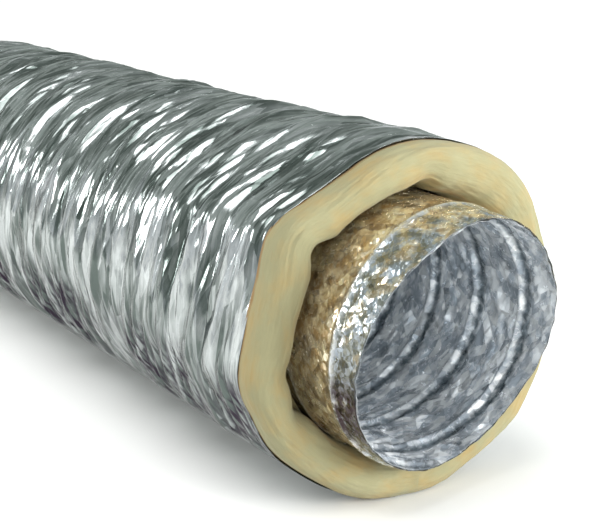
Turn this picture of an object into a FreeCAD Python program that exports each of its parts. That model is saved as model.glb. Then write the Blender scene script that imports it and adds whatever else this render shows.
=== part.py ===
import FreeCAD, Part
import math
import os

import Sketcher

# An insulated flexible air duct, lying on its side.
#
# Seen from the air stream outwards it is a core of two foil plies with a spring wire helix
# between them, a blanket of glass wool, and a foil jacket that is pressed flat where it rests.
# The duct runs along X with its mouth at +X, where the core stands out of the wool. The origin is
# at the middle of the length, on the ground. Every layer is cut into sections, so that the duct
# bends and stretches at the planes between them, and the last length of wool and jacket is a
# sleeve that slides along the core.

SECTIONS = 9

SIZES = [
    ("bore_radius", 63.5, "inside radius of the core"),
    ("ply_thickness", 0.4, "each foil ply of the core, crinkles included"),
    ("wire_diameter", 1.4, "spring wire of the helix"),
    ("wire_clearance", 0.15, "between the wire and each ply"),
    ("wire_pitch", 38.0, "length that one turn of the helix takes"),
    ("wire_setback", 3.0, "from each cut end of the core to the end of the wire"),
    ("wire_mouth_angle", -106.0, "where the wire ends at the mouth, from +Y towards +Z"),
    ("wire_end_gap", 0.5, "between the wires of two sections, along the wire"),
    ("wool_thickness", 25.0, "glass wool blanket"),
    ("layer_gap", 0.1, "between the wool and the foil on each side of it"),
    ("jacket_thickness", 0.4, "outer foil jacket, crinkles included"),
    ("rest_depth", 3.0, "how far the jacket is pressed flat where it rests"),
    ("section_length", 56.0, "from one bending plane to the next"),
    ("sleeve_length", 56.0, "last length of wool and jacket, which slides on the core"),
    ("core_reach", 45.0, "how far the core stands out of the wool at the mouth"),
    ("seam_gap", 0.2, "between two sections of a foil or of the wool"),
]

doc = FreeCAD.newDocument("FlexibleDuct")
sheet = doc.addObject("Spreadsheet::Sheet", "Sizes")
for row, (alias, value, note) in enumerate(SIZES, start=1):
    sheet.set(f"A{row}", str(value))
    sheet.setAlias(f"A{row}", alias)
    sheet.set(f"B{row}", note)
doc.recompute()

# Expressions for the radii, from the bore outwards, and for the places along the duct.
BORE = "Sizes.bore_radius"
INNER_PLY = f"({BORE} + Sizes.ply_thickness)"
WIRE_LINE = f"({INNER_PLY} + Sizes.wire_clearance + Sizes.wire_diameter / 2)"
OUTER_PLY_BORE = f"({WIRE_LINE} + Sizes.wire_diameter / 2 + Sizes.wire_clearance)"
OUTER_PLY = f"({OUTER_PLY_BORE} + Sizes.ply_thickness)"
WOOL_BORE = f"({OUTER_PLY} + Sizes.layer_gap)"
WOOL = f"({WOOL_BORE} + Sizes.wool_thickness)"
JACKET_BORE = f"({WOOL} + Sizes.layer_gap)"
JACKET = f"({JACKET_BORE} + Sizes.jacket_thickness)"
AXIS_HEIGHT = f"({JACKET} - Sizes.rest_depth)"
CORE_LENGTH = f"({SECTIONS} * Sizes.section_length + Sizes.sleeve_length + Sizes.core_reach)"
WIRE_MOUTH = f"({CORE_LENGTH} - Sizes.wire_setback)"
WIRE_END_STEP = f"(Sizes.wire_end_gap * Sizes.wire_pitch / (2 * pi * {WIRE_LINE}))"

# One piece of the wire's sweep per quarter turn.
TURNS_PER_PIECE = 0.25

parts = []


def section_start(index):
    """Where a section starts, from the tail end of the duct. The sleeve follows the last one."""
    return f"({index} * Sizes.section_length)"


def rotation(x, y, z, angle):
    """The expression of a rotation about an axis, in degrees."""
    return f"create(<<rotation>>; create(<<vector>>; {x}; {y}; {z}); {angle})"


def place_along_duct(part, start):
    """Puts a part's own origin on the duct's axis, at its start along the duct."""
    part.setExpression(".Placement.Base.x", f"{start} - {CORE_LENGTH} / 2")
    part.setExpression(".Placement.Base.z", AXIS_HEIGHT)
    parts.append(part)


def new_body(label, start):
    """A body whose own X axis is the duct's axis."""
    body = doc.addObject("PartDesign::Body", label)
    body.Label = label
    place_along_duct(body, start)
    return body


def new_sketch(body):
    """A sketch across the duct, on the body's own YZ plane."""
    plane = next(f for f in body.Origin.OriginFeatures if f.Role == "YZ_Plane")
    sketch = body.newObject("Sketcher::SketchObject", f"{body.Name}_sketch")
    sketch.AttachmentSupport = (plane, "")
    sketch.MapMode = "FlatFace"
    return sketch


def constrain(sketch, constraint, name, expression):
    """Adds a named dimension and binds it to the sheet."""
    index = sketch.addConstraint(constraint)
    sketch.renameConstraint(index, name)
    sketch.setExpression(f"Constraints.{name}", expression)


def add_circle(sketch, name, radius):
    """A circle about the duct's axis."""
    size = float(sheet.get("bore_radius"))
    circle = sketch.addGeometry(Part.Circle(FreeCAD.Vector(), FreeCAD.Vector(0, 0, 1), size))
    sketch.addConstraint(Sketcher.Constraint("Coincident", circle, 3, -1, 1))
    constrain(sketch, Sketcher.Constraint("Radius", circle, size), f"{name}_radius", radius)


def add_pressed_outline(sketch, name, radius, drop):
    """An arc about the duct's axis, closed by a level chord this far below the axis."""
    size = float(sheet.get("bore_radius"))
    tilt = math.radians(10)
    full = Part.Circle(FreeCAD.Vector(), FreeCAD.Vector(0, 0, 1), size)
    arc = sketch.addGeometry(Part.ArcOfCircle(full, tilt - math.pi / 2, 1.5 * math.pi - tilt))
    left = FreeCAD.Vector(-size * math.sin(tilt), -size * math.cos(tilt), 0)
    right = FreeCAD.Vector(size * math.sin(tilt), -size * math.cos(tilt), 0)
    chord = sketch.addGeometry(Part.LineSegment(left, right))
    sketch.addConstraint(Sketcher.Constraint("Coincident", arc, 3, -1, 1))
    sketch.addConstraint(Sketcher.Constraint("Coincident", arc, 1, chord, 2))
    sketch.addConstraint(Sketcher.Constraint("Coincident", arc, 2, chord, 1))
    sketch.addConstraint(Sketcher.Constraint("Horizontal", chord))
    constrain(sketch, Sketcher.Constraint("Radius", arc, size), f"{name}_radius", radius)
    below = Sketcher.Constraint("DistanceY", chord, 1, -1, 1, size * math.cos(tilt))
    constrain(sketch, below, f"{name}_drop", drop)


def pad_along_duct(body, sketch, length):
    """Pads a section drawn across the duct along the body's X axis."""
    pad = body.newObject("PartDesign::Pad", f"{body.Name}_pad")
    pad.Profile = sketch
    pad.setExpression("Length", length)
    sketch.Visibility = False


def foil_ply(label, start, length, inner, outer):
    """A round ply of the core."""
    body = new_body(label, start)
    sketch = new_sketch(body)
    add_circle(sketch, "inner", inner)
    add_circle(sketch, "outer", outer)
    pad_along_duct(body, sketch, length)


def glass_wool(label, start, length):
    """A length of the blanket: round inside, pressed flat underneath."""
    body = new_body(label, start)
    sketch = new_sketch(body)
    add_circle(sketch, "inner", WOOL_BORE)
    drop = f"{AXIS_HEIGHT} - Sizes.jacket_thickness - Sizes.layer_gap"
    add_pressed_outline(sketch, "outer", WOOL, drop)
    pad_along_duct(body, sketch, length)


def jacket(label, start, length):
    """A length of the outer jacket, pressed flat underneath."""
    body = new_body(label, start)
    sketch = new_sketch(body)
    inner_drop = f"{AXIS_HEIGHT} - Sizes.jacket_thickness"
    add_pressed_outline(sketch, "inner", JACKET_BORE, inner_drop)
    add_pressed_outline(sketch, "outer", JACKET, AXIS_HEIGHT)
    pad_along_duct(body, sketch, length)


def spring_wire(label, start, length):
    """A length of the helix, which turns right-handed about the duct's axis."""
    path = doc.addObject("Part::Helix", f"{label}_path")
    path.SegmentLength = TURNS_PER_PIECE
    path.setExpression("Radius", WIRE_LINE)
    path.setExpression("Pitch", "Sizes.wire_pitch")
    path.setExpression("Height", length)
    across = doc.addObject("Part::Circle", f"{label}_across")
    across.Placement.Rotation = FreeCAD.Rotation(FreeCAD.Vector(1, 0, 0), 90)
    across.setExpression("Radius", "Sizes.wire_diameter / 2")
    across.setExpression(".Placement.Base.x", WIRE_LINE)
    doc.recompute()
    wire = doc.addObject("Part::Sweep", label)
    wire.Label = label
    wire.Sections = [across]
    wire.Spine = (path, [f"Edge{edge + 1}" for edge in range(len(path.Shape.Edges))])
    wire.Solid = True
    wire.Frenet = True
    # The helix rises along its own Z axis from a start on its own X axis. A third of a turn about
    # the diagonal lays it along the duct with its start at +Y, from where its angle is counted.
    turned = f"360 * ({start} - {WIRE_MOUTH}) / Sizes.wire_pitch"
    turn = rotation(1, 0, 0, f"Sizes.wire_mouth_angle + {turned}")
    wire.setExpression(".Placement.Rotation", f"{turn} * {rotation(1, 1, 1, 120)}")
    place_along_duct(wire, start)


def build_sections():
    """The five layers of every section, from the tail to the mouth."""
    for number in range(1, SECTIONS + 1):
        start = section_start(number - 1)
        layer_length = "Sizes.section_length - Sizes.seam_gap"
        core_length = layer_length
        wire_start = start
        wire_length = f"Sizes.section_length - {WIRE_END_STEP}"
        if number == 1:
            wire_start = f"({start} + Sizes.wire_setback)"
            wire_length = f"{wire_length} - Sizes.wire_setback"
        if number == SECTIONS:
            core_length = f"{CORE_LENGTH} - {start}"
            wire_length = f"{WIRE_MOUTH} - {wire_start}"
        foil_ply(f"core_inner_foil_{number}", start, core_length, BORE, INNER_PLY)
        spring_wire(f"spring_wire_{number}", wire_start, wire_length)
        foil_ply(f"core_outer_foil_{number}", start, core_length, OUTER_PLY_BORE, OUTER_PLY)
        glass_wool(f"glass_wool_{number}", start, layer_length)
        jacket(f"vapour_jacket_{number}", start, layer_length)


def build_sleeve():
    """The loose end of the wool and the jacket, at the mouth."""
    start = section_start(SECTIONS)
    glass_wool("glass_wool_end", start, "Sizes.sleeve_length")
    jacket("vapour_jacket_end", start, "Sizes.sleeve_length")


def check_document():
    """Stops if a feature failed or a part is not one valid solid."""
    for item in doc.Objects:
        if "Invalid" in item.State or "Error" in item.State:
            raise RuntimeError(f"{item.Label} failed: {item.State}")
    for part in parts:
        shape = part.Shape
        if shape.isNull() or not shape.isValid() or len(shape.Solids) != 1:
            raise RuntimeError(f"{part.Label} is not one valid solid")
        if shape.Volume <= 0:
            raise RuntimeError(f"{part.Label} has no volume")


build_sections()
build_sleeve()
doc.recompute()
check_document()

os.makedirs("parts", exist_ok=True)
for part in parts:
    part.Shape.exportStep(os.path.join("parts", f"{part.Label}.step"))
box = Part.makeCompound([part.Shape for part in parts]).optimalBoundingBox()
print(f"{len(parts)} parts, {box.XLength:.1f} x {box.YLength:.1f} x {box.ZLength:.1f} mm")
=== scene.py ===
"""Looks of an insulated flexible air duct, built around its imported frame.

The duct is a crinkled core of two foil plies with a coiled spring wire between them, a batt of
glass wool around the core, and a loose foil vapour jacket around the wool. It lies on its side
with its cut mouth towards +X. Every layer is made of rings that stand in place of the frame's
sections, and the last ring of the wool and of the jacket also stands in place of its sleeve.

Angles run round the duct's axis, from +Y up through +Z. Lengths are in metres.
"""

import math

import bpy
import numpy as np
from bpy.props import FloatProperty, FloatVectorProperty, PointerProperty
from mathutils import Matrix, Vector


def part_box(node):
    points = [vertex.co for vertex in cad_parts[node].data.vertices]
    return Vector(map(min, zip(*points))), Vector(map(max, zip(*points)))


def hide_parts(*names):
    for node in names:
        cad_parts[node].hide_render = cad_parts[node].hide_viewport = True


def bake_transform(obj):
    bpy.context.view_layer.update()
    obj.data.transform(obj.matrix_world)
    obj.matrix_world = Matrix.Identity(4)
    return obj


bl_info = {
    "name": "Insulated Flexible Air Duct",
    "version": (1, 0, 0),
    "blender": (4, 5, 0),
    "location": "3D View > Sidebar > Air Duct",
    "description": "Builds the foil, wool and wire layers of an insulated flexible air duct",
    "category": "Add Mesh",
}

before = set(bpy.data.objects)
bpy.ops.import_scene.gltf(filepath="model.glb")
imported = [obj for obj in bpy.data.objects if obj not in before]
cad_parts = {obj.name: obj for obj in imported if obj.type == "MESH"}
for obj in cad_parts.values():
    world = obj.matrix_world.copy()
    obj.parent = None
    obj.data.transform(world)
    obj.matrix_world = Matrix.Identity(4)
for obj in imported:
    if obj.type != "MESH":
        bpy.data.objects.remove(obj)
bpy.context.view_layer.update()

MM = 0.001
TURN = 2 * math.pi

# What the frame says about the duct

SECTIONS = sum(name.startswith("spring_wire_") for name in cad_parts)


def box_centre(node):
    """The middle of a frame node's box."""
    low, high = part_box(node)
    return (low + high) / 2


def box_radius(node):
    """Half the width of a frame node."""
    low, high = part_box(node)
    return (high.y - low.y) / 2


MIDDLES = [box_centre(f"vapour_jacket_{number}").x for number in range(1, SECTIONS + 1)]
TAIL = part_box("vapour_jacket_1")[0].x
JACKET_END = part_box("vapour_jacket_end")[1].x
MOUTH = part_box(f"core_inner_foil_{SECTIONS}")[1].x
AXIS_HEIGHT = box_centre("core_inner_foil_1").z
JACKET_RADIUS = box_radius("vapour_jacket_1")
CORE_RADIUS = box_radius("core_outer_foil_1")
WIRE_RADIUS = 0.7 * MM
WIRE_COIL_RADIUS = box_radius("spring_wire_2") - WIRE_RADIUS
WIRE_PITCH = 38 * MM
WIRE_SETBACK = 3 * MM
WIRE_MOUTH_ANGLE = math.radians(-106)


# Settings that a user would change


def colour(name, description, default):
    """A colour setting."""
    return FloatVectorProperty(
        name=name,
        description=description,
        subtype="COLOR",
        default=default,
        min=0.0,
        max=1.0,
    )


def measure(name, description, default, most):
    """A length setting, from nothing to its most."""
    return FloatProperty(
        name=name,
        description=description,
        default=default,
        min=0.0,
        max=most,
        unit="LENGTH",
    )


class DuctJacketSettings(bpy.types.PropertyGroup):
    """Folds and finish of the vapour jacket."""

    fold_slope: FloatProperty(
        name="Fold slope",
        description="Rise over run of the long folds' flanks",
        default=0.29,
        min=0.0,
        max=0.6,
    )
    crease_depth: measure(
        "Fine crease depth", "Depth of the fine creases between the long folds", 0.45 * MM, 2 * MM
    )
    scallop_depth: measure(
        "Scallop depth", "How far the jacket sinks along the wire's coil", 2.4 * MM, 4 * MM
    )
    shade: colour("Foil shade", "Darker tone of the jacket's foil", (0.12, 0.145, 0.135))
    light: colour("Foil light", "Lighter tone of the jacket's foil", (0.54, 0.57, 0.57))
    # A painted shade colour, for the fine creases low on the side.
    crease_shade: colour("Crease stain", "Tone of the fine creases low on the side", (0.035, 0.025, 0.04))


class DuctWoolSettings(bpy.types.PropertyGroup):
    """Shape and colour of the glass wool."""

    puff: measure("Puff", "How far the cut wool swells out of the jacket", 17 * MM, 25 * MM)
    pale: colour("Pale wool", "Main colour of the wool", (0.262, 0.246, 0.139))
    tan: colour("Tan wool", "Colour of the resin-rich patches", (0.33, 0.235, 0.095))
    edge: colour("Browned edge", "Colour of the wool and foil along the jacket's cut", (0.24, 0.14, 0.05))


class DuctCoreSettings(bpy.types.PropertyGroup):
    """Shape and colours of the foil core."""

    ridge_height: measure(
        "Ridge height", "How far the inner foil rises over the wire", 1.9 * MM, 2.5 * MM
    )
    crumple_depth: measure("Crumple depth", "Depth of the crumples in the core's foil", 1.2 * MM, 2 * MM)
    silver: colour("Silver foil", "Colour of the plain foil", (0.95, 0.97, 0.98))
    slate: colour("Slate foil", "Darker tone inside the bore", (0.43, 0.48, 0.53))
    # A painted shade colour, for the hollows beside the wire's ridges.
    shaded_hollow: colour("Shaded hollows", "Tone of the hollows beside the wire's ridges", (0.13, 0.16, 0.18))
    worn: colour("Worn foil", "Darker tone of the bare foil outside the mouth", (0.22, 0.22, 0.17))
    gold: colour("Golden foil", "Colour of the lacquered foil under the wool", (0.97, 0.88, 0.66))
    umber: colour("Umber foil", "Darker tone of the lacquered foil", (0.56, 0.41, 0.23))
    # A painted dark reflection, low on the near side of the mouth.
    dark_reflection: colour("Dark reflection", "Dull patch low on the near side of the mouth", (0.045, 0.028, 0.030))
    wire: colour("Spring wire", "Colour of the spring steel wire", (0.42, 0.41, 0.40))


class DuctStageSettings(bpy.types.PropertyGroup):
    """Floor, lights and camera."""

    lens: FloatProperty(
        name="Focal length",
        description="Focal length of the camera in millimetres",
        default=87.2,
        min=20.0,
        max=200.0,
        subtype="DISTANCE_CAMERA",
    )
    azimuth: FloatProperty(
        name="Azimuth",
        description="Camera's angle round the duct, 0 looking along +Y",
        default=math.radians(58),
        subtype="ANGLE",
    )
    elevation: FloatProperty(
        name="Elevation",
        description="Camera's angle above the floor",
        default=math.radians(14.5),
        subtype="ANGLE",
    )
    floor: colour("Floor", "Colour of the floor", (0.88, 0.88, 0.87))


# Curves, waves and noise


def smooth(low, high, value):
    """An even S from 0 at low to 1 at high, which may be the smaller of the two."""
    share = np.clip((value - low) / (high - low), 0, 1)
    return share * share * (3 - 2 * share)


def bell(value, width):
    """1 at zero, falling away evenly on both sides over this width."""
    return np.exp(-np.square(value / width))


def triangle(phase):
    """A wave with straight flanks, -1 to 1, which repeats at each whole phase."""
    return 2 / math.pi * np.arcsin(np.sin(TURN * phase))


def standing_out(corners, angle):
    """How far an outline stands out: each corner has its degrees, rise and width in degrees."""
    degrees = np.degrees(angle)
    return sum(rise * bell(degrees - place, width) for place, rise, width in corners)


def noise(along, around, cells, seed):
    """Smooth noise, about -1 to 1. Around runs from 0 to 1 and repeats, over this many cells."""
    turns = np.random.default_rng(seed).uniform(0, TURN, (256, cells))
    across = around * cells
    row = np.floor(along).astype(int)
    column = np.floor(across).astype(int)
    total = 0
    for next_row in (0, 1):
        for next_column in (0, 1):
            turn = turns[(row + next_row) % 256, (column + next_column) % cells]
            rise = along - row - next_row
            run = across - column - next_column
            weight = smooth(0, 1, 1 - np.abs(rise)) * smooth(0, 1, 1 - np.abs(run))
            total = total + weight * (np.cos(turn) * rise + np.sin(turn) * run)
    return 1.5 * total


def dents(along, around, cells, seed):
    """Flat-sided dents: how far, in cells, it is to the middle of the nearest scattered cell."""
    places = np.random.default_rng(seed).uniform(0.1, 0.9, (256, cells, 2))
    across = around * cells
    row = np.floor(along).astype(int)
    column = np.floor(across).astype(int)
    nearest = np.full(np.broadcast(along, around).shape, 9.0)
    for next_row in (-1, 0, 1):
        for next_column in (-1, 0, 1):
            place = places[(row + next_row) % 256, (column + next_column) % cells]
            rise = along - row - next_row - place[..., 0]
            run = across - column - next_column - place[..., 1]
            nearest = np.minimum(nearest, 0.8 * np.abs(rise + 0.3 * run) + 0.6 * np.abs(run))
    return nearest


# Crumples within crumples: how many times finer each is, and its share of the height.
CRUMPLE_STEPS = ((1, 1.0), (2.1, 0.45), (4.3, 0.22))


def crumple(x, around, cell, seed):
    """Sharp-edged crumples, 0 to about 1, of this cell size on the core."""
    cells = round(TURN * CORE_RADIUS / cell)
    along = x / cell + 0.5 * noise(x / cell / 2, around, max(cells // 2, 1), seed + 7)
    return sum(
        share * np.abs(noise(along * finer, around, round(cells * finer), seed + step))
        for step, (finer, share) in enumerate(CRUMPLE_STEPS)
    )


# Closed ring meshes


def add_object(name, data):
    """A new object of this mesh, light or camera, linked to the scene."""
    made = bpy.data.objects.new(name, data)
    bpy.context.scene.collection.objects.link(made)
    return made


def ring_angles(columns):
    """Angles of the columns round the duct, starting and ending on its underside."""
    return -math.pi / 2 + np.arange(columns) * TURN / columns


def share_around(angle):
    """How far round the duct an angle is, 0 to 1 from the underside."""
    return (angle + math.pi / 2) / TURN


def spaced(stations, spacings):
    """Row positions through the stations, at about these spacings, and each station's row."""
    parts = [np.array(stations[:1])]
    marks = [0]
    for low, high, spacing in zip(stations, stations[1:], spacings):
        count = max(2, round((high - low) / spacing))
        parts.append(np.linspace(low, high, count + 1)[1:])
        marks.append(marks[-1] + count)
    return np.concatenate(parts), marks


def ring_points(x, radius, angle, floor=0.0):
    """Points at these places along and round the duct, none of them lower than the floor."""
    x, radius, angle = np.broadcast_arrays(x, radius, angle)
    height = AXIS_HEIGHT + radius * np.sin(angle)
    return np.stack([x, radius * np.cos(angle), np.maximum(height, floor)], axis=-1)


def sheet_normals(points):
    """Normals of a sheet of rows round the duct, away from its axis."""
    along = np.gradient(points, axis=0)
    around = np.roll(points, -1, axis=1) - np.roll(points, 1, axis=1)
    normal = np.cross(around, along)
    length = np.linalg.norm(normal, axis=-1, keepdims=True)
    return normal / np.maximum(length, 1e-12)


def ring_shell(name, rows, normals, along, girth, tints, finish):
    """A closed ring of these rows, in order round its wall: first out, then back inside."""
    count, columns = rows.shape[:2]
    start = np.arange(count * columns).reshape(count, columns)
    beside = np.roll(start, -1, axis=1)
    above = np.roll(start, -1, axis=0)
    corner = np.roll(above, -1, axis=1)
    faces = np.stack([start, beside, corner, above], axis=-1).reshape(-1, 4)
    mesh = bpy.data.meshes.new(name)
    mesh.vertices.add(count * columns)
    mesh.vertices.foreach_set("co", rows.astype(np.float32).ravel())
    mesh.loops.add(faces.size)
    mesh.loops.foreach_set("vertex_index", faces.ravel())
    mesh.polygons.add(len(faces))
    mesh.polygons.foreach_set("loop_start", np.arange(len(faces)) * 4)
    mesh.polygons.foreach_set("use_smooth", np.ones(len(faces), bool))
    mesh.update(calc_edges=True)
    if mesh.validate():
        raise ValueError(f"{name} has faces that do not hold together")
    unroll(mesh, count, columns, along, girth)
    for tint, values in tints.items():
        attribute = mesh.attributes.new(tint, "FLOAT", "POINT")
        attribute.data.foreach_set("value", values.astype(np.float32).ravel())
    mesh.normals_split_custom_set_from_vertices(normals.reshape(-1, 3).tolist())
    mesh.materials.append(finish)
    return add_object(name, mesh)


def unroll(mesh, count, columns, along, girth):
    """Lays the ring's surface out flat, in metres, with its seam on the underside."""
    column = np.arange(columns)
    low = np.broadcast_to(column * girth / columns, (count, columns))
    high = low + girth / columns
    near = np.broadcast_to(along, (count, columns))
    far = np.roll(near, -1, axis=0)
    near_beside = np.roll(near, -1, axis=1)
    far_beside = np.roll(far, -1, axis=1)
    corners = [(near, low), (near_beside, high), (far_beside, high), (far, low)]
    flat = np.stack([np.stack(corner, axis=-1) for corner in corners], axis=2)
    layer = mesh.uv_layers.new(name="unrolled")
    layer.data.foreach_set("uv", flat.astype(np.float32).ravel())


def bend_with_sections(piece, nodes):
    """Bakes the ring's placement into its mesh and hides these frame nodes, which it stands in for."""
    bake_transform(piece)
    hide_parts(*nodes)


def slide_with_sleeve(piece, nodes):
    """Bakes the end ring's placement into its mesh and hides these nodes, which it stands in for."""
    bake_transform(piece)
    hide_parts(*nodes)


# Material nodes


class Finish:
    """A new material, and short ways of adding the nodes that its look is made of."""

    def __init__(self, name):
        self.material = bpy.data.materials.new(name)
        self.material.use_nodes = True
        self.nodes = self.material.node_tree.nodes
        self.links = self.material.node_tree.links
        self.shader = self.nodes["Principled BSDF"]
        self.flat = self.nodes.new("ShaderNodeUVMap").outputs["UV"]

    def set(self, **values):
        """Sets the shader's own sockets, named with underscores for spaces."""
        for name, value in values.items():
            self.shader.inputs[name.replace("_", " ")].default_value = value

    def link(self, name, socket):
        """Leads a socket to one of the shader's sockets."""
        self.links.new(socket, self.shader.inputs[name])

    def attribute(self, name):
        """The value of a ring's tint."""
        node = self.nodes.new("ShaderNodeAttribute")
        node.attribute_name = name
        return node.outputs["Fac"]

    def cells(self, size, stretch, lean):
        """The unrolled surface in cells of this size, drawn out round the duct and leaning."""
        mapping = self.nodes.new("ShaderNodeMapping")
        mapping.vector_type = "TEXTURE"
        mapping.inputs["Rotation"].default_value = (0, 0, lean)
        mapping.inputs["Scale"].default_value = (size, size * stretch, 1)
        self.links.new(self.flat, mapping.inputs["Vector"])
        return mapping.outputs["Vector"]

    def grain(self, size, stretch=1.0, detail=3.0, lean=0.0):
        """Noise of this grain size, drawn out round the duct by the stretch."""
        node = self.nodes.new("ShaderNodeTexNoise")
        node.inputs["Scale"].default_value = 1.0
        node.inputs["Detail"].default_value = detail
        node.inputs["Roughness"].default_value = 0.55
        self.links.new(self.cells(size, stretch, lean), node.inputs["Vector"])
        return node.outputs["Fac"]

    def facets(self, size, stretch=1.0, lean=0.0):
        """Flat facets of this size, as foil crumples: their height, and a tone for each facet."""
        place = self.cells(size, stretch, lean)
        cell = self.nodes.new("ShaderNodeTexVoronoi")
        cell.inputs["Scale"].default_value = 1.0
        self.links.new(place, cell.inputs["Vector"])
        offset = self.vector("SUBTRACT", place, cell.outputs["Position"])
        tilt = self.vector("SUBTRACT", cell.outputs["Color"], (0.5, 0.5, 0.5))
        parts = self.nodes.new("ShaderNodeSeparateColor")
        self.links.new(cell.outputs["Color"], parts.inputs["Color"])
        return self.vector("DOT_PRODUCT", offset, tilt, result="Value"), parts.outputs["Blue"]

    def vector(self, operation, first, second, result="Vector"):
        """A result of two vectors, each a socket or three numbers."""
        node = self.nodes.new("ShaderNodeVectorMath")
        node.operation = operation
        for value, entry in zip((first, second), node.inputs):
            if isinstance(value, tuple):
                entry.default_value = value
            else:
                self.links.new(value, entry)
        return node.outputs[result]

    def between(self, socket, low, high, start=0.0, end=1.0):
        """The socket's values from low to high, spread from start to end."""
        node = self.nodes.new("ShaderNodeMapRange")
        node.inputs["From Min"].default_value = low
        node.inputs["From Max"].default_value = high
        node.inputs["To Min"].default_value = start
        node.inputs["To Max"].default_value = end
        self.links.new(socket, node.inputs["Value"])
        return node.outputs["Result"]

    def cloud(self, size, low, high, stretch=1.0):
        """Cloudy patches of this size, from low to high."""
        return self.between(self.grain(size, stretch, detail=4), 0.36, 0.64, low, high)

    def wander_roughness(self, low, high, size, stretch=1.0):
        """Roughness that wanders between two values over patches of this size."""
        self.link("Roughness", self.between(self.grain(size, stretch), 0.3, 0.7, low, high))

    def mean(self, first, second):
        """Half the sum of two sockets."""
        return self.math("MULTIPLY", self.math("ADD", first, second), 0.5)

    def math(self, operation, first, second):
        """A sum, product or other result of two sockets or numbers."""
        node = self.nodes.new("ShaderNodeMath")
        node.operation = operation
        for value, entry in zip((first, second), node.inputs):
            if isinstance(value, (int, float)):
                entry.default_value = value
            else:
                self.links.new(value, entry)
        return node.outputs["Value"]

    def mix(self, share, first, second):
        """One colour turning into another with a share; either may be a socket."""
        node = self.nodes.new("ShaderNodeMix")
        node.data_type = "RGBA"
        self.links.new(share, node.inputs["Factor"])
        entries = [entry for entry in node.inputs if entry.type == "RGBA"]
        for value, entry in zip((first, second), entries):
            if isinstance(value, bpy.types.NodeSocket):
                self.links.new(value, entry)
            else:
                entry.default_value = (*value, 1)
        return next(result for result in node.outputs if result.type == "RGBA")

    def bump(self, height, distance, strength=1.0, under=None):
        """A bump of this height, on top of another bump."""
        node = self.nodes.new("ShaderNodeBump")
        node.inputs["Strength"].default_value = strength
        node.inputs["Distance"].default_value = distance
        self.links.new(height, node.inputs["Height"])
        if under is not None:
            self.links.new(under, node.inputs["Normal"])
        return node.outputs["Normal"]


# How far the foil's streaks lean from the way round the duct.
STREAK_LEAN = math.radians(10)
LOW_CREASE_LEAN = math.radians(-14)


def jacket_finish(settings):
    """Thin bright foil, softly brushed by handling, with painted shade in its fine creases and over its low
    near side.
    """
    foil = Finish("vapour_jacket_foil")
    foil.set(Metallic=1.0)
    facet, facet_tone = foil.facets(5 * MM, stretch=7, lean=STREAK_LEAN)
    sliver, sliver_tone = foil.facets(2.2 * MM, stretch=10, lean=-STREAK_LEAN / 2)
    cloud = foil.cloud(20 * MM, -0.38, 0.34, stretch=3)
    own_tone = foil.mean(facet_tone, sliver_tone)
    # Painted shade: the foil's tone is darkened over its low near side.
    low_side_shade = foil.math("MULTIPLY", foil.attribute("low_side"), 0.38)
    own_tone = foil.math("SUBTRACT", foil.math("ADD", own_tone, cloud), low_side_shade)
    tone = foil.mix(foil.between(own_tone, 0.12, 0.84), settings.shade, settings.light)
    # Painted shade: thin dark streaks on the low side and the valleys of its slanted creases take a dark
    # colour.
    shade_lines = foil.between(foil.grain(2.2 * MM, stretch=11, detail=3, lean=LOW_CREASE_LEAN), 0.48, 0.57)
    shade_lines = foil.math("MULTIPLY", shade_lines, foil.attribute("low_side"))
    shading = foil.math("MAXIMUM", foil.attribute("shading"), shade_lines)
    foil.link("Base Color", foil.mix(shading, tone, settings.crease_shade))
    foil.wander_roughness(0.10, 0.24, 9 * MM, stretch=4)
    broad = foil.bump(facet, 1.3 * MM, 0.7)
    slim = foil.bump(sliver, 0.5 * MM, 0.7, broad)
    ripple = foil.grain(1.6 * MM, stretch=16, detail=3, lean=STREAK_LEAN)
    foil.link("Normal", foil.bump(ripple, 0.2 * MM, 0.5, slim))
    return foil.material


def inner_foil_finish(settings):
    """Crumpled foil of the bore, slate and silver on its facets, with painted shade in its hollows and
    painted highlights along fine creases.
    """
    foil = Finish("core_inner_foil")
    foil.set(Metallic=0.52)
    facet, facet_tone = foil.facets(8.5 * MM, stretch=1.4, lean=0.4)
    sliver, sliver_tone = foil.facets(3.2 * MM, stretch=2.2, lean=-0.5)
    own_tone = foil.mean(facet_tone, sliver_tone)
    cloud = foil.cloud(8 * MM, -0.3, 0.3, stretch=1.5)
    own_tone = foil.between(foil.math("ADD", own_tone, cloud), 0.25, 0.80)
    # Painted highlights: thin bright streaks along the crumples' creases lift the tone towards silver.
    highlight_veins = foil.math("SUBTRACT", foil.grain(7 * MM, stretch=1.8, detail=2, lean=0.5), 0.5)
    creases = foil.between(foil.math("ABSOLUTE", highlight_veins, 0), 0.0, 0.018, 0.9, 0.0)
    own_tone = foil.math("MAXIMUM", own_tone, creases)
    tone = foil.mix(own_tone, settings.slate, settings.silver)
    # Painted shade in the hollows beside the wire's ridges, with a ragged edge.
    ragged = foil.between(foil.grain(4.5 * MM, detail=4), 0.3, 0.7, -0.35, 0.35)
    shaded_hollow = foil.between(foil.math("ADD", foil.attribute("shaded_hollow"), ragged), 0.25, 1.05)
    foil.link("Base Color", foil.mix(shaded_hollow, tone, settings.shaded_hollow))
    foil.wander_roughness(0.12, 0.30, 6 * MM)
    broad = foil.bump(facet, 5.5 * MM, 1.0)
    foil.link("Normal", foil.bump(sliver, 1.6 * MM, 0.9, broad))
    return foil.material


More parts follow.
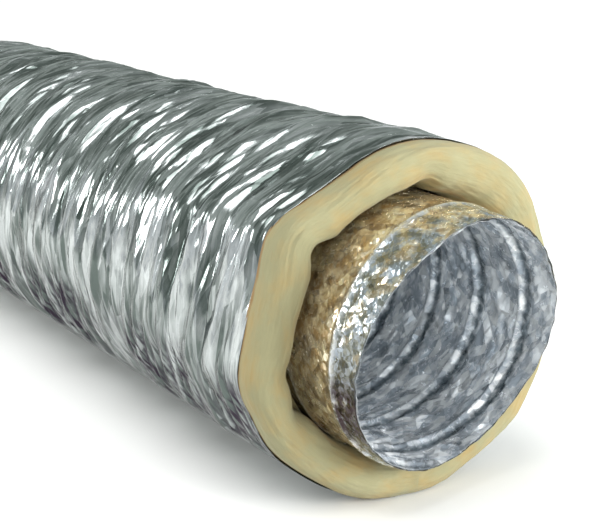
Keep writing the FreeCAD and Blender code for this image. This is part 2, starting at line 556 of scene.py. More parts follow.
def outer_foil_finish(settings):
    """Crumpled foil of the core's outside, lacquered gold where the wool covered it, with a painted
    highlight on the bead and a painted dark reflection low on the near side.
    """
    foil = Finish("core_outer_foil")
    foil.set(Metallic=0.85)
    facet, facet_tone = foil.facets(3.4 * MM, stretch=1.6, lean=0.5)
    sliver, sliver_tone = foil.facets(1.5 * MM, stretch=2.0, lean=-0.6)
    cloud = foil.cloud(8 * MM, -0.3, 0.3)
    own_tone = foil.mean(facet_tone, sliver_tone)
    own_tone = foil.between(foil.math("ADD", own_tone, cloud), 0.15, 0.85)
    gold = foil.mix(own_tone, settings.umber, settings.gold)
    silver = foil.mix(own_tone, settings.worn, settings.slate)
    patch = foil.between(foil.grain(13 * MM, detail=3), 0.40, 0.60, -0.35, 0.35)
    lacquer = foil.between(foil.math("ADD", foil.attribute("lacquer"), patch), 0.2, 0.8)
    # Painted highlight: the bead over the wire is lifted to bright silver.
    bare = foil.mix(foil.attribute("bead"), foil.mix(lacquer, silver, gold), settings.silver)
    blotch = foil.between(foil.grain(3.4 * MM, stretch=2, detail=4), 0.32, 0.50, 0.35, 1.0)
    # Painted dark reflection, in blotches, over the bare foil low on the near side.
    dark_reflection_share = foil.math("MULTIPLY", foil.attribute("dark_reflection"), blotch)
    foil.link("Base Color", foil.mix(dark_reflection_share, bare, settings.dark_reflection))
    foil.wander_roughness(0.12, 0.30, 5 * MM)
    broad = foil.bump(facet, 1.7 * MM, 0.9)
    foil.link("Normal", foil.bump(sliver, 0.8 * MM, 0.9, broad))
    return foil.material


def wool_finish(settings):
    """Matted glass fibre in layers, resin-tan in patches and browned at the jacket's cut."""
    wool = Finish("glass_wool")
    wool.set(Roughness=0.95, Specular_IOR_Level=0.15, Sheen_Weight=0.08, Sheen_Roughness=0.6)
    patch = wool.between(wool.grain(15 * MM, stretch=1.7, detail=5), 0.44, 0.68, 0.0, 0.8)
    fibre = wool.between(wool.grain(1.6 * MM, stretch=9, detail=5), 0.35, 0.75, 0.0, 0.45)
    body = wool.mix(patch, settings.pale, settings.tan)
    lit = tuple(min(1.0, part * 1.18) for part in settings.pale)
    body = wool.mix(fibre, body, lit)
    ragged = wool.between(wool.grain(4 * MM, stretch=3, detail=3), 0.3, 0.7, -0.3, 0.3)
    brown = wool.between(wool.math("ADD", wool.attribute("browned"), ragged), 0.35, 0.9)
    wool.link("Base Color", wool.mix(brown, body, settings.edge))
    layer = wool.bump(wool.grain(4.5 * MM, stretch=5, detail=5), 1.5 * MM, 0.6)
    strand = wool.bump(wool.grain(0.8 * MM, stretch=12, detail=4), 0.4 * MM, 0.6, layer)
    wool.link("Normal", strand)
    return wool.material


def wire_finish(settings):
    """Drawn spring steel with faint drawing marks."""
    wire = Finish("spring_wire")
    wire.set(Metallic=1.0)
    dark = tuple(part * 0.7 for part in settings.wire)
    marks = wire.between(wire.grain(0.6 * MM, stretch=40, detail=2), 0.35, 0.65)
    wire.link("Base Color", wire.mix(marks, dark, settings.wire))
    wire.wander_roughness(0.25, 0.42, 3 * MM, stretch=6)
    wire.link("Normal", wire.bump(marks, 0.05 * MM, 0.4))
    return wire.material


# Vapour jacket

JACKET_COLUMNS = 384
JACKET_SPACING = 1.1 * MM
JACKET_HIDDEN_STEP = 6
JACKET_WALL = 0.5 * MM
JACKET_LINING_DEPTH = 5.8 * MM
JACKET_DEEPEST = 5.0 * MM
JACKET_EDGE_BAND = 10 * MM
SHAPED_LENGTH = 0.20

# Where the cut end has lost its roundness: degrees, rise, and width in degrees.
CUT_END_CORNERS = (
    (50, 6.5 * MM, 20),
    (80, 2.0 * MM, 16),
    (118, -3.2 * MM, 13),
    (143, 5.0 * MM, 10),
    (190, 5.5 * MM, 12),
    (212, 3.0 * MM, 12),
)

LOW_CREASE_PITCH = 6.4 * MM
DENT_SIZE = 12 * MM
SMALL_DENT_SIZE = 6 * MM
DENT_LEVEL = 0.35
PINCH_HEIGHT = 0.8 * MM
PINCH_WIDTH = 0.13
JACKET_SUNK = 0.8 * MM
TUCK_DEPTH = 2.6 * MM
TUCK_DEGREES = 156
TUCK_WIDTH = 11

# How ragged the jacket's two hand-cut edges are: depth and seed.
JACKET_CUT = (2.2 * MM, 21)
JACKET_TAIL_CUT = (1.5 * MM, 23)

# Degrees round the duct over which its low near side and its lowest strip start and stop.
LOW_SIDE_START = (182, 198)
LOW_SIDE_STOP = (231, 219)
LOWEST_START = (216, 230)
LOWEST_STOP = (-50, -70)

# The jacket's noise: length along the duct, cells round it, seed, lean in lengths to a turn.
SLOW_WARP = (80 * MM, 5, 11, 0)
QUICK_WARP = (21 * MM, 15, 12, 0)
VIGOUR = (60 * MM, 7, 13, 0)
BUSY = (40 * MM, 8, 14, 0)
FINE_CREASES = (5.2 * MM, 26, 15, 6)
VEINS = (12.5 * MM, 11, 19, 3)
PINCHED = (30 * MM, 9, 20, 0)

# Each family of long folds: length along the duct, lean in turns, start, share of the slope.
LONG_FOLDS = (
    (47 * MM, 3, 0.10, 1.00),
    (38 * MM, -4, 0.55, 1.00),
    (29 * MM, 6, 0.31, 0.90),
)


def jacket_radius(x, angle):
    """The jacket's radius before its folds: round, and out of round at its cut end."""
    share = smooth(JACKET_END - SHAPED_LENGTH, JACKET_END - 5 * MM, x)
    return JACKET_RADIUS + share * standing_out(CUT_END_CORNERS, angle)


def fold_waves(families, x, around, slope, warp):
    """The height of each family of folds in turn."""
    return [
        share * slope * length / 4 * triangle(x / length + lean * around + start + warp)
        for length, lean, start, share in families
    ]


def field(kind, x, around):
    """One kind of the jacket's noise."""
    length, cells, seed, lean = kind
    return noise(x / length + lean * around, around, cells, seed)


def jacket_lift(x, angle, settings):
    """How far the folds lift the jacket, how much painted shade its creases get, how far it is its low side.
    """
    around = share_around(angle)
    slope = settings.fold_slope
    warp = 0.30 * field(SLOW_WARP, x, around) + 0.07 * field(QUICK_WARP, x, around)
    vigour = 0.85 + 0.45 * field(VIGOUR, x, around)
    busy = smooth(-0.30, 0.35, field(BUSY, x, around))
    long = np.maximum.reduce(fold_waves(LONG_FOLDS, x, around, slope, warp))
    facets = dents(x / DENT_SIZE - 3 * around + 0.4 * warp, around, 12, 17) - DENT_LEVEL
    small = dents(x / SMALL_DENT_SIZE + 6 * around - warp, around, 22, 18) - DENT_LEVEL
    pinch = np.maximum(0, 1 - np.abs(field(VEINS, x, around)) / PINCH_WIDTH)
    pinch = pinch * smooth(0.0, 0.5, field(PINCHED, x, around))
    creases = np.abs(field(FINE_CREASES, x, around))
    degrees = np.degrees(angle)
    low_side = smooth(*LOW_SIDE_START, degrees) * smooth(*LOW_SIDE_STOP, degrees)
    low_side = low_side * (0.35 + 0.65 * busy)
    lowest = smooth(*LOWEST_START, degrees) + smooth(*LOWEST_STOP, degrees)
    slanted = triangle(x / LOW_CREASE_PITCH + 15 * around + 2.5 * warp)
    lift = vigour * (0.75 * long + slope * (DENT_SIZE * facets))
    lift = lift + 0.8 * slope * (0.15 + 0.85 * busy) * (SMALL_DENT_SIZE * small)
    lift = lift + PINCH_HEIGHT * pinch - settings.crease_depth * (0.3 + busy) * creases
    lift = lift + low_side * 1.5 * slope * LOW_CREASE_PITCH / 4 * slanted
    notch = (1 - np.abs(np.sin(math.pi * (x / WIRE_PITCH - around)))) ** 3
    lift = (lift - settings.scallop_depth * notch) * (1 - 0.7 * lowest)
    # Painted shade in the valleys of the slanted creases on the low side.
    shading = low_side * smooth(-0.1, -0.7, slanted)
    return np.maximum(lift - JACKET_SUNK, -JACKET_DEEPEST), shading, low_side + 0 * x


def edge_wander(angle, depth, seed):
    """The raggedness of a hand-cut edge."""
    around = share_around(angle)
    long = noise(np.zeros_like(angle) + 0.5, around, 9, seed)
    return depth * (0.7 * long + 0.3 * noise(np.zeros_like(angle) + 0.5, around, 60, seed + 1))


def jacket_sheet(settings):
    """Outer and lining points of the whole jacket, its tints, rows and station marks."""
    stations = [TAIL, *MIDDLES[1:], JACKET_END]
    rows, marks = spaced(stations, [JACKET_SPACING] * (len(stations) - 1))
    angle = ring_angles(JACKET_COLUMNS)
    x = rows[:, None] + 0 * angle[None, :]
    x = x + smooth(JACKET_END - 25 * MM, JACKET_END, x) * edge_wander(angle, *JACKET_CUT)
    x = x - smooth(TAIL + 15 * MM, TAIL, x) * edge_wander(angle, *JACKET_TAIL_CUT)
    lift, shading, low_side = jacket_lift(x, angle, settings)
    from_end = np.minimum(rows - TAIL, JACKET_END - rows)[:, None]
    calm = 0.3 + 0.7 * smooth(0, JACKET_EDGE_BAND, from_end)
    tucked = bell(np.degrees(angle) - TUCK_DEGREES, TUCK_WIDTH)
    tucked = tucked * smooth(JACKET_END - 9 * MM, JACKET_END, x)
    base = jacket_radius(x, angle)
    radius = base + calm * lift - TUCK_DEPTH * tucked
    lining = base - JACKET_LINING_DEPTH
    thin = smooth(JACKET_EDGE_BAND, 0, from_end)
    lining = lining + thin * (radius - JACKET_WALL - lining)
    outside = ring_points(x, radius, angle)
    inside = ring_points(x, np.minimum(lining, radius - JACKET_WALL), angle, JACKET_WALL)
    return outside, inside, {"shading": shading, "low_side": low_side}, rows, marks


def build_jacket(settings):
    """The vapour jacket as one ring for each joint between sections, and one for the sleeve."""
    outside, inside, tints, rows, marks = jacket_sheet(settings)
    finish = jacket_finish(settings)
    normals = sheet_normals(outside)
    lining_normals = -sheet_normals(inside)
    girth = TURN * JACKET_RADIUS
    near_end = np.minimum(rows - TAIL, JACKET_END - rows) < JACKET_EDGE_BAND
    for number, (first, last) in enumerate(zip(marks, marks[1:]), start=1):
        shown = np.arange(first, last + 1)
        kept = (shown - first) % JACKET_HIDDEN_STEP == 0
        hidden = shown[kept | near_end[shown] | (shown == last)][::-1]
        piece = ring_shell(
            f"jacket_ring_{number}",
            np.concatenate([outside[shown], inside[hidden]]),
            np.concatenate([normals[shown], lining_normals[hidden]]),
            np.concatenate([rows[shown], rows[hidden]])[:, None],
            girth,
            {tint: np.concatenate([value[shown], 0 * value[hidden]]) for tint, value in tints.items()},
            finish,
        )
        if number < SECTIONS:
            bend_with_sections(piece, [f"vapour_jacket_{number}"])
        else:
            nodes = [f"vapour_jacket_{number}", "vapour_jacket_end"]
            slide_with_sleeve(piece, nodes)


# Glass wool

WOOL_COLUMNS = 420
WOOL_HIDDEN_COLUMNS = 96
WOOL_HIDDEN_SPACING = 7 * MM
WOOL_FACE_ROWS = 72
WOOL_UNDER_JACKET = 6.4 * MM
WOOL_BORE = CORE_RADIUS + 1.9 * MM
WOOL_LIP_DEPTH = 14 * MM
WOOL_LIP_RUN = 0.84
WOOL_LUMPS = 1.7 * MM
WOOL_LAYERS = 0.55 * MM
WOOL_TEARS = 0.45 * MM

# The wool's last two rows under the jacket: how far before its edge, and how deep.
WOOL_OPENING = ((9 * MM, 5.4 * MM), (2 * MM, 2.2 * MM))

# Where the cut wool's inner lip stands off the core: degrees, rise, and width in degrees.
WOOL_LIP_RADIUS = CORE_RADIUS + 1.1 * MM
WOOL_LIP_CORNERS = (
    (86, 4.2 * MM, 6),
    (141, 8.2 * MM, 6),
    (188, 4.8 * MM, 6),
    (203, 7.8 * MM, 9),
)


def wool_face(edge, way, outer, inner, puff, depth, angle, seed):
    """Rows of a swollen cut face, from the jacket in to the core, and their distance along it.

    The face stands at edge and swells along the duct, towards +X where way is 1."""
    turn = np.linspace(0, math.pi, WOOL_FACE_ROWS)[:, None]
    side = np.sign(np.cos(turn)) * np.abs(np.cos(turn)) ** 0.80
    share = 0.5 + 0.5 * side
    root = np.where(turn > math.pi / 2, -depth, 0.0)
    swell = root + (puff - root) * np.sin(turn) ** 0.72
    around = share_around(angle)
    run = np.linspace(0, 1, WOOL_FACE_ROWS)[:, None]
    lumps = WOOL_LUMPS * noise(run * 2.2 + 0 * around, around, 13, seed)
    layers = WOOL_LAYERS * noise(run * 13 + 1.2 * lumps / MM, around, 21, seed + 1)
    torn = WOOL_TEARS * np.abs(noise(run * 24 + 0 * around, around, 70, seed + 2))
    lift = np.sin(turn) ** 0.5 * (lumps + layers - torn) * np.minimum(1.0, puff / (8 * MM))
    radius = inner + (outer - inner) * share + lift * np.cos(turn)
    x = edge + way * (swell + lift * np.sin(turn))
    return x + 0 * radius, radius, run


def wool_ring(name, stations, columns, finish, mouth=None, tail=None):
    """A ring of wool between two stations; a mouth or tail face closes its ends."""
    angle = ring_angles(columns)
    low, high = stations
    rows = spaced(stations, [WOOL_HIDDEN_SPACING])[0]
    around_jacket = [jacket_radius(np.full_like(angle, x), angle) for x in rows]
    outer = np.array(around_jacket) - WOOL_UNDER_JACKET
    inner = np.full_like(outer, WOOL_BORE)
    x_rows = rows[:, None] + 0 * outer
    parts = [(x_rows, outer, 0 * outer), (x_rows[::-1], inner, 0 * outer)]
    if mouth is not None:
        x_rows, outer = open_towards(x_rows, outer, high, angle)
        face_x, face_radius, run = mouth(angle)
        spots = smooth(-0.1, 0.4, noise(0 * angle + 0.5, share_around(angle), 11, 39))
        lip = bell(run - WOOL_LIP_RUN, 0.07) * spots
        browned = smooth(0.035, 0.0, run) + 0.6 * lip + 0 * face_radius
        parts = [(x_rows, outer, 0 * outer), (face_x, face_radius, browned)]
        back = x_rows[:-2][::-1]
        parts.append((back, WOOL_BORE + 0 * back, 0 * back))
    if tail is not None:
        face_x, face_radius, run = tail(angle)
        browned = smooth(0.06, 0.0, run) + 0 * face_radius
        parts.append((face_x[::-1], face_radius[::-1], browned[::-1]))
    x, radius, browned = (np.concatenate(column) for column in zip(*parts))
    points = ring_points(x, radius, angle, 1.0 * MM)
    ahead = np.roll(points, -1, axis=0) - np.roll(points, 1, axis=0)
    beside = np.roll(points, -1, axis=1) - np.roll(points, 1, axis=1)
    normals = np.cross(beside, ahead)
    normals = normals / np.maximum(np.linalg.norm(normals, axis=-1, keepdims=True), 1e-12)
    step = np.linalg.norm(points - np.roll(points, 1, axis=0), axis=-1).mean(axis=1)
    along = np.cumsum(step)[:, None]
    girth = TURN * JACKET_RADIUS
    return ring_shell(name, points, normals, along, girth, {"browned": browned}, finish)


def open_towards(x_rows, outer, high, angle):
    """Brings the wool's last rows out to the jacket's cut edge."""
    edge_radius = jacket_radius(np.full_like(angle, high), angle)
    new_x = [0 * angle + high - before for before, _ in WOOL_OPENING]
    new_outer = [edge_radius - depth for _, depth in WOOL_OPENING]
    return np.concatenate([x_rows[:-1], new_x]), np.concatenate([outer[:-1], new_outer])


def build_wool(settings):
    """The glass wool as one ring for each joint, with a swollen face at the mouth."""
    finish = wool_finish(settings)

    def mouth(angle):
        edge = JACKET_END + edge_wander(angle, *JACKET_CUT) - 1.0 * MM
        outer = jacket_radius(np.full_like(angle, JACKET_END), angle) - 1.1 * MM
        inner = WOOL_LIP_RADIUS + standing_out(WOOL_LIP_CORNERS, angle)
        swell = settings.puff * (1 + 0.12 * noise(0 * angle + 0.5, share_around(angle), 7, 31))
        return wool_face(edge, 1, outer, inner, swell, WOOL_LIP_DEPTH, angle, 33)

    def tail(angle):
        outer = jacket_radius(np.full_like(angle, TAIL), angle) - 1.9 * MM
        inner = np.full_like(angle, WOOL_BORE)
        return wool_face(TAIL + 1 * MM, -1, outer, inner, 4.0 * MM, 0.0, angle, 37)

    stations = [TAIL, *MIDDLES[1:], JACKET_END]
    for number, ends in enumerate(zip(stations, stations[1:]), start=1):
        name = f"wool_ring_{number}"
        if number == SECTIONS:
            piece = wool_ring(name, ends, WOOL_COLUMNS, finish, mouth=mouth)
            slide_with_sleeve(piece, [f"glass_wool_{number}", "glass_wool_end"])
        else:
            columns = WOOL_COLUMNS if number == 1 else WOOL_HIDDEN_COLUMNS
            face = tail if number == 1 else None
            piece = wool_ring(name, ends, columns, finish, tail=face)
            bend_with_sections(piece, [f"glass_wool_{number}"])


# Foil core

CORE_COLUMNS = 288
CORE_FINE_SPACING = 1.3 * MM
CORE_DEEP_SPACING = 2.3 * MM
CORE_HIDDEN_SPACING = 4 * MM
CORE_STRETCH_LENGTH = 70 * MM
CORE_WALL = 0.3 * MM
CORE_INNER_RADIUS = CORE_RADIUS - 2.0 * MM
CORE_OUTER_RADIUS = CORE_RADIUS - 0.1 * MM
CORE_CUT_BAND = 16 * MM
RIDGE_WIDTH = 1.4 * MM
HOLLOW_BESIDE = 5.2 * MM
HOLLOW_WIDTH = 3.4 * MM
HOLLOW_DEPTH = 1.0 * MM
BEAD_WIDTH = 1.6 * MM
BEAD_HEIGHT = 1.3 * MM
# Where the painted dark reflection lies: degrees round the duct, and width in degrees.
DARK_REFLECTION_DEGREES = 203
DARK_REFLECTION_WIDTH = 17
CORE_LEAN = 12 * MM
CORE_LEAN_ANGLE = math.radians(100)

# The core was cut off at a slant: how far the cut reaches, its slant and its waves.
MOUTH_REACH = 3 * MM
MOUTH_SLANT = 17 * MM
MOUTH_SLANT_ANGLE = math.radians(126)
MOUTH_WAVE = 2 * MM
MOUTH_WAVE_ANGLE = math.radians(120)


def mouth_cut(angle):
    """How far the cut mouth reaches past the core's nominal end."""
    slant = MOUTH_SLANT * np.cos(angle - MOUTH_SLANT_ANGLE)
    wave = MOUTH_WAVE * np.cos(3 * (angle - MOUTH_WAVE_ANGLE))
    return MOUTH_REACH + slant + wave + edge_wander(angle, 1.8 * MM, 41)


def core_x(rows, angle):
    """Places along the core, stretched so that its last row follows the slanting cut."""
    x = rows[:, None] + 0 * angle[None, :]
    x = x + smooth(MOUTH - CORE_STRETCH_LENGTH, MOUTH, x) * mouth_cut(angle)
    tail_cut = 2.5 * MM + edge_wander(angle, 1.6 * MM, 43)
    return x - smooth(TAIL + 20 * MM, TAIL, x) * tail_cut


def wire_lean(x, angle):
    """How far the last turn of wire is pulled out of line, where the core leans at its mouth."""
    near_mouth = smooth(MOUTH - 34 * MM, MOUTH - 10 * MM, x)
    return CORE_LEAN * near_mouth * np.cos(angle - CORE_LEAN_ANGLE)


def from_wire(x, angle):
    """Distance along the duct from the nearest turn of wire, how much wire is there, its turn."""
    end_x = MOUTH - WIRE_SETBACK
    back = np.mod(angle - WIRE_MOUTH_ANGLE, TURN) / TURN - 1
    turn = np.minimum(np.round((x - end_x) / WIRE_PITCH - back), 1)
    wire_x = end_x + WIRE_PITCH * (back + turn)
    past_end = smooth(0.06, 0.0, back + 1)
    distance = x - wire_x - wire_lean(wire_x, angle)
    return distance, np.where(turn > 0.5, past_end, 1.0), turn


def core_ovality(angle):
    """How the core has been squeezed out of round."""
    return 0.3 * MM * np.cos(2 * (angle - 0.7)) + 0.2 * MM * np.cos(3 * angle + 1.1)


def build_core_ply(label, slot, x, radius, wall, rows, marks, tints, finish):
    """One ply of the core, as one ring for each joint; wall is negative for an inner ply."""
    angle = ring_angles(CORE_COLUMNS)
    outer = ring_points(x, np.maximum(radius, radius + wall), angle)
    inner = ring_points(x, np.minimum(radius, radius + wall), angle)
    outer_normals = sheet_normals(outer)
    inner_normals = -sheet_normals(inner)
    girth = TURN * CORE_RADIUS
    for number, (first, last) in enumerate(zip(marks, marks[1:]), start=1):
        span = np.arange(first, last + 1)
        back = span[::-1]
        piece = ring_shell(
            f"{label}_ring_{number}",
            np.concatenate([outer[span], inner[back]]),
            np.concatenate([outer_normals[span], inner_normals[back]]),
            np.concatenate([rows[span], rows[back]])[:, None],
            girth,
            {name: np.concatenate([value[span], value[back]]) for name, value in tints.items()},
            finish,
        )
        nodes = [f"{slot}_{number}"]
        if number == SECTIONS - 1:
            nodes.append(f"{slot}_{SECTIONS}")
        bend_with_sections(piece, nodes)


def build_inner_foil(settings):
    """The bore's foil: a ridge over each turn of wire, a groove with painted shade before it, and crumples.
    """
    stations = [TAIL, *MIDDLES[1:-1], MOUTH]
    spacings = [CORE_DEEP_SPACING] * (len(stations) - 3) + [CORE_FINE_SPACING] * 2
    rows, marks = spaced(stations, spacings)
    angle = ring_angles(CORE_COLUMNS)
    around = share_around(angle)
    x = core_x(rows, angle)
    distance, wired, turn = from_wire(x, angle)
    uneven = 0.85 + 0.25 * noise(turn * 5 + 0.5, around, 24, 53)
    ridge = wired * uneven * bell(distance, RIDGE_WIDTH)
    # This mask shapes a groove in the foil and also places its painted shade.
    shaded_hollow = wired * bell(distance - HOLLOW_BESIDE, HOLLOW_WIDTH)
    crumples = crumple(x, around, 12 * MM, 51) + 1.1 * dents(x / (10 * MM), around, 30, 55) - 0.75
    calm = 1 - 0.85 * wired * bell(distance, 3.0 * MM)
    radius = CORE_INNER_RADIUS + core_ovality(angle) - settings.ridge_height * ridge
    radius = radius + HOLLOW_DEPTH * shaded_hollow + settings.crumple_depth * calm * crumples
    near_cut = smooth(MOUTH - CORE_CUT_BAND, MOUTH, rows)[:, None]
    under_outer = CORE_RADIUS - 0.75 * MM - 1.05 * MM * near_cut + core_ovality(angle)
    radius = np.minimum(radius, under_outer)
    finish = inner_foil_finish(settings)
    tints = {"shaded_hollow": shaded_hollow}
    build_core_ply(
        "inner_foil", "core_inner_foil", x, radius, CORE_WALL, rows, marks, tints, finish
    )


def build_outer_foil(settings):
    """The core's outside foil: a bead with a painted highlight over each turn of wire, gold where it was
    covered.
    """
    stations = [TAIL, *MIDDLES[1:-1], MOUTH - 105 * MM, MOUTH]
    spacings = [CORE_HIDDEN_SPACING] * (len(stations) - 2) + [CORE_FINE_SPACING]
    rows, marks = spaced(stations, spacings)
    marks = marks[:-2] + marks[-1:]
    angle = ring_angles(CORE_COLUMNS)
    around = share_around(angle)
    x = core_x(rows, angle)
    distance, wired, turn = from_wire(x, angle)
    # The bead's profile also places a painted highlight in the finish.
    bead = wired * bell(distance, BEAD_WIDTH)
    crumples = crumple(x, around, 9 * MM, 61) - 0.3
    calm = 1 - 0.8 * wired * bell(distance, 2.6 * MM)
    near_cut = smooth(MOUTH - CORE_CUT_BAND, MOUTH, rows)[:, None]
    radius = CORE_OUTER_RADIUS + core_ovality(angle) + BEAD_HEIGHT * bead
    radius = radius + (0.35 * MM + 0.35 * MM * near_cut) * calm * crumples
    radius = radius - 1.0 * MM * near_cut
    first_turn = smooth(0.8 * MM, -0.8 * MM, distance + WIRE_PITCH * turn)
    covered = np.where(turn < -0.5, 1.0, np.where(turn > 0.5, 0.0, first_turn))
    above = bell(np.degrees(angle) - 92, 42)
    lacquer = np.maximum(covered, 0.50 * above)
    # Painted dark reflection on the bare foil, low on the near side.
    dark_reflection = (1 - covered) * np.minimum(1.0, 1.4 * bell(np.degrees(angle) - DARK_REFLECTION_DEGREES, DARK_REFLECTION_WIDTH))
    finish = outer_foil_finish(settings)
    build_core_ply(
        "outer_foil",
        "core_outer_foil",
        x,
        radius,
        -CORE_WALL,
        rows,
        marks,
        {"lacquer": lacquer, "bead": 0.85 * bead, "dark_reflection": dark_reflection},
        finish,
    )


# Spring wire

WIRE_SIDES = 10
WIRE_STEP = math.radians(4)


def wire_tube(name, low, high, finish):
    """A length of the coiled wire between two places along the duct."""
    end_x = MOUTH - WIRE_SETBACK
    per_turn = WIRE_PITCH / TURN
    start = WIRE_MOUTH_ANGLE + (low - end_x) / per_turn
    stop = WIRE_MOUTH_ANGLE + (high - end_x) / per_turn
    angle = np.linspace(start, stop, max(3, math.ceil((stop - start) / WIRE_STEP)))
    radial = np.stack([0 * angle, np.cos(angle), np.sin(angle)], axis=-1)
    centre = WIRE_COIL_RADIUS * radial
    wire_x = end_x + per_turn * (angle - WIRE_MOUTH_ANGLE)
    centre[:, 0] = wire_x + wire_lean(wire_x, angle)
    centre[:, 2] += AXIS_HEIGHT
    ahead = np.gradient(centre, axis=0)
    ahead = ahead / np.linalg.norm(ahead, axis=-1, keepdims=True)
    beside = np.cross(ahead, radial)
    turn = np.arange(WIRE_SIDES) * TURN / WIRE_SIDES
    normals = (
        radial[:, None, :] * np.cos(turn)[None, :, None]
        + beside[:, None, :] * np.sin(turn)[None, :, None]
    )
    rows = centre[:, None, :] + WIRE_RADIUS * normals
    count = len(rows)
    start_index = np.arange(count * WIRE_SIDES).reshape(count, WIRE_SIDES)
    next_side = np.roll(start_index, -1, axis=1)
    sides = np.stack(
        [start_index[:-1], next_side[:-1], next_side[1:], start_index[1:]], axis=-1
    ).reshape(-1, 4)
    faces = sides.tolist() + [start_index[0][::-1].tolist(), start_index[-1].tolist()]
    mesh = bpy.data.meshes.new(name)
    mesh.from_pydata(rows.reshape(-1, 3).tolist(), [], faces)
    mesh.polygons.foreach_set("use_smooth", [True] * len(sides) + [False] * 2)
    layer = mesh.uv_layers.new(name="unrolled")
    turned = np.repeat(angle * WIRE_COIL_RADIUS, WIRE_SIDES)
    side = np.tile(turn * WIRE_RADIUS, count)
    for loop in mesh.loops:
        layer.data[loop.index].uv = (side[loop.vertex_index], turned[loop.vertex_index])
    mesh.update()
    mesh.materials.append(finish)
    return add_object(name, mesh)


def build_wire(settings):
    """The spring wire in lengths that stand in for the sections' wire."""
    finish = wire_finish(settings)
    stations = [TAIL + WIRE_SETBACK, *MIDDLES[1:-1], MOUTH - WIRE_SETBACK]
    for number, (low, high) in enumerate(zip(stations, stations[1:]), start=1):
        piece = wire_tube(f"wire_coil_{number}", low, high, finish)
        nodes = [f"spring_wire_{number}"]
        if number == SECTIONS - 1:
            nodes.append(f"spring_wire_{SECTIONS}")
        bend_with_sections(piece, nodes)


# Stage

FLOOR_SIZE = 16.0
CAMERA_TARGET_BACK = 8 * MM
CAMERA_DISTANCE = 0.720
CAMERA_LEFT = 0.0672
CAMERA_RAISED = 0.0365
OVERHEAD_POWER = 2.0
OVERHEAD_SPREAD = math.radians(50)
OVERHEAD_TILT = math.radians(20)

# Each soft panel: name, place, the place along the duct it faces, width, height, watts, colour.
PANELS = (
    ("side_card", (-0.90, -1.20, 0.62), 0.0, 0.62, 0.34, 8, (1, 1, 1)),
    ("bore_fill", (1.4, 0.7, 0.35), MOUTH, 0.7, 0.5, 25, (0.97, 0.99, 1)),
    ("mouth_fill", (1.9, -0.5, 1.1), MOUTH, 1.0, 0.8, 6, (1, 0.99, 0.96)),
)

# The surround's colours from the horizon, at 0.5, up to straight above, at 1.
SKY_COLOURS = (
    (0.50, (0.95, 0.96, 0.97)),
    (0.56, (0.62, 0.66, 0.68)),
    (0.62, (0.47, 0.52, 0.49)),
    (0.80, (0.38, 0.43, 0.40)),
    (1.0, (0.55, 0.58, 0.57)),
)
SKY_BY_THE_MOUTH = (0.92, 0.92, 0.91, 1)


def floor_finish(settings):
    """A matt pale floor with a faint mottle."""
    made = Finish("studio_floor")
    made.set(Roughness=0.9, Specular_IOR_Level=0.1)
    mottle = made.grain(0.4, detail=2)
    dim = tuple(part * 0.985 for part in settings.floor)
    made.link("Base Color", made.mix(mottle, dim, settings.floor))
    return made.material


def add_panel(name, place, faces, width, height, power, tone):
    """A soft rectangular light that faces a place along the duct's axis."""
    lamp = bpy.data.lights.new(name, "AREA")
    lamp.shape = "RECTANGLE"
    lamp.size = width
    lamp.size_y = height
    lamp.energy = power
    lamp.color = tone
    made = add_object(name, lamp)
    made.location = place
    ahead = Vector((faces, 0, AXIS_HEIGHT)) - made.location
    made.rotation_euler = ahead.to_track_quat("-Z", "Y").to_euler()
    made.visible_camera = False


def add_sky():
    """A studio surround: pale low down and towards the mouth, dim high up behind the duct."""
    world = bpy.data.worlds.new("studio_surround")
    bpy.context.scene.world = world
    world.use_nodes = True
    nodes, links = world.node_tree.nodes, world.node_tree.links
    place = nodes.new("ShaderNodeTexCoord")
    split = nodes.new("ShaderNodeSeparateXYZ")
    links.new(place.outputs["Generated"], split.inputs["Vector"])
    heights = nodes.new("ShaderNodeValToRGB")
    ramp = heights.color_ramp
    while len(ramp.elements) < len(SKY_COLOURS):
        ramp.elements.new(0.5)
    for element, (position, tone) in zip(ramp.elements, SKY_COLOURS):
        element.position = position
        element.color = (*tone, 1)
    raised = nodes.new("ShaderNodeMapRange")
    raised.inputs["From Min"].default_value = -1.0
    raised.inputs["From Max"].default_value = 1.0
    links.new(split.outputs["Z"], raised.inputs["Value"])
    links.new(raised.outputs["Result"], heights.inputs["Fac"])
    front = nodes.new("ShaderNodeMapRange")
    front.interpolation_type = "SMOOTHSTEP"
    front.inputs["From Min"].default_value = -0.05
    front.inputs["From Max"].default_value = 0.6
    links.new(split.outputs["X"], front.inputs["Value"])
    blend = nodes.new("ShaderNodeMix")
    blend.data_type = "RGBA"
    links.new(front.outputs["Result"], blend.inputs["Factor"])
    entries = [entry for entry in blend.inputs if entry.type == "RGBA"]
    links.new(heights.outputs["Color"], entries[0])
    entries[1].default_value = SKY_BY_THE_MOUTH
    result = next(entry for entry in blend.outputs if entry.type == "RGBA")
    links.new(result, nodes["Background"].inputs["Color"])
    nodes["Background"].inputs["Strength"].default_value = 1.0


def add_lights():
    """An even light from above, a card at the near side and two soft fills at the mouth."""
    above = bpy.data.lights.new("overhead", "SUN")
    above.energy = OVERHEAD_POWER
    above.angle = OVERHEAD_SPREAD
    add_object("overhead", above).rotation_euler = (OVERHEAD_TILT, 0, 0)
    for panel in PANELS:
        add_panel(*panel)


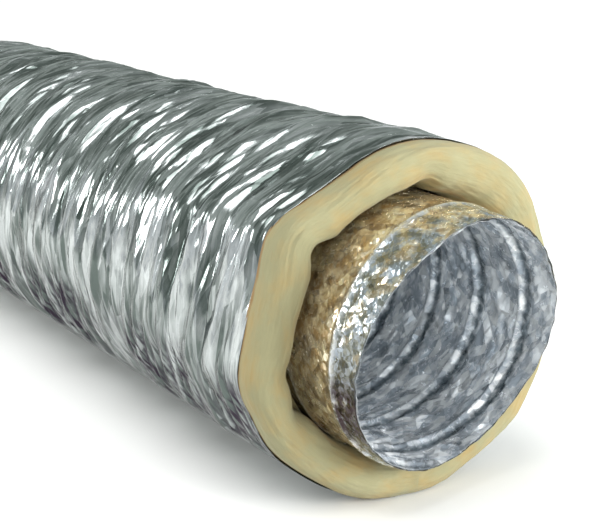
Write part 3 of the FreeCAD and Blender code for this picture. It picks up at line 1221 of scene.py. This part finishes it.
def add_camera(settings):
    """The camera, looking down the duct's near side at its mouth."""
    azimuth, elevation = settings.azimuth, settings.elevation
    back = Vector(
        (
            math.sin(azimuth) * math.cos(elevation),
            -math.cos(azimuth) * math.cos(elevation),
            math.sin(elevation),
        )
    )
    right = Vector((math.cos(azimuth), math.sin(azimuth), 0))
    up = back.cross(right)
    camera = bpy.data.cameras.new("studio_camera")
    camera.lens = settings.lens
    made = add_object("studio_camera", camera)
    target = Vector((MOUTH - CAMERA_TARGET_BACK, 0, AXIS_HEIGHT))
    sideways = CAMERA_RAISED * up - CAMERA_LEFT * right
    made.location = target + CAMERA_DISTANCE * back + sideways
    made.rotation_euler = (-back).to_track_quat("-Z", "Y").to_euler()
    bpy.context.scene.camera = made


def build_stage(settings):
    """Floor, surround, lights and camera."""
    half = FLOOR_SIZE / 2
    corners = [(-half, -half, 0), (half, -half, 0), (half, half, 0), (-half, half, 0)]
    mesh = bpy.data.meshes.new("studio_floor")
    mesh.from_pydata(corners, [], [(0, 1, 2, 3)])
    layer = mesh.uv_layers.new(name="unrolled")
    for loop in mesh.loops:
        layer.data[loop.index].uv = corners[loop.vertex_index][:2]
    mesh.materials.append(floor_finish(settings))
    add_object("studio_floor", mesh)
    add_sky()
    add_lights()
    add_camera(settings)
    bpy.context.scene.view_settings.view_transform = "Standard"


# Operators, panel and registration


class DUCT_OT_vapour_jacket(bpy.types.Operator):
    """Build the folded foil jacket"""

    bl_idname = "duct.vapour_jacket"
    bl_label = "Vapour Jacket"

    def execute(self, context):
        build_jacket(context.scene.duct_jacket)
        return {"FINISHED"}


class DUCT_OT_glass_wool(bpy.types.Operator):
    """Build the glass wool between the jacket and the core"""

    bl_idname = "duct.glass_wool"
    bl_label = "Glass Wool"

    def execute(self, context):
        build_wool(context.scene.duct_wool)
        return {"FINISHED"}


class DUCT_OT_core_foils(bpy.types.Operator):
    """Build the two foil plies of the core"""

    bl_idname = "duct.core_foils"
    bl_label = "Core Foils"

    def execute(self, context):
        build_inner_foil(context.scene.duct_core)
        build_outer_foil(context.scene.duct_core)
        return {"FINISHED"}


class DUCT_OT_spring_wire(bpy.types.Operator):
    """Build the coiled spring wire between the foil plies"""

    bl_idname = "duct.spring_wire"
    bl_label = "Spring Wire"

    def execute(self, context):
        build_wire(context.scene.duct_core)
        return {"FINISHED"}


class DUCT_OT_stage(bpy.types.Operator):
    """Build the floor, surround, lights and camera"""

    bl_idname = "duct.stage"
    bl_label = "Stage"

    def execute(self, context):
        build_stage(context.scene.duct_stage)
        return {"FINISHED"}


class DUCT_PT_build(bpy.types.Panel):
    """Lists the duct's builders and settings"""

    bl_idname = "DUCT_PT_build"
    bl_label = "Air Duct"
    bl_space_type = "VIEW_3D"
    bl_region_type = "UI"
    bl_category = "Air Duct"

    def draw(self, context):
        for group, operators in PANEL_ROWS:
            box = self.layout.box()
            for operator in operators:
                box.operator(operator.bl_idname)
            settings = getattr(context.scene, group)
            for name in settings.bl_rna.properties.keys():
                if name not in ("rna_type", "name"):
                    box.prop(settings, name)


SETTINGS = {
    "duct_jacket": DuctJacketSettings,
    "duct_wool": DuctWoolSettings,
    "duct_core": DuctCoreSettings,
    "duct_stage": DuctStageSettings,
}
PANEL_ROWS = (
    ("duct_jacket", (DUCT_OT_vapour_jacket,)),
    ("duct_wool", (DUCT_OT_glass_wool,)),
    ("duct_core", (DUCT_OT_core_foils, DUCT_OT_spring_wire)),
    ("duct_stage", (DUCT_OT_stage,)),
)
OPERATORS = [operator for _, operators in PANEL_ROWS for operator in operators]
CLASSES = [*SETTINGS.values(), *OPERATORS, DUCT_PT_build]


def register():
    """Registers the classes and hangs the settings on the scene."""
    for made in CLASSES:
        bpy.utils.register_class(made)
    for name, group in SETTINGS.items():
        setattr(bpy.types.Scene, name, PointerProperty(type=group))


def unregister():
    """Takes the settings and classes away again."""
    for name in SETTINGS:
        delattr(bpy.types.Scene, name)
    for made in reversed(CLASSES):
        bpy.utils.unregister_class(made)


def main():
    """Builds every layer and the stage."""
    register()
    bpy.ops.duct.vapour_jacket()
    bpy.ops.duct.glass_wool()
    bpy.ops.duct.core_foils()
    bpy.ops.duct.spring_wire()
    bpy.ops.duct.stage()


if __name__ == "__main__":
    main()
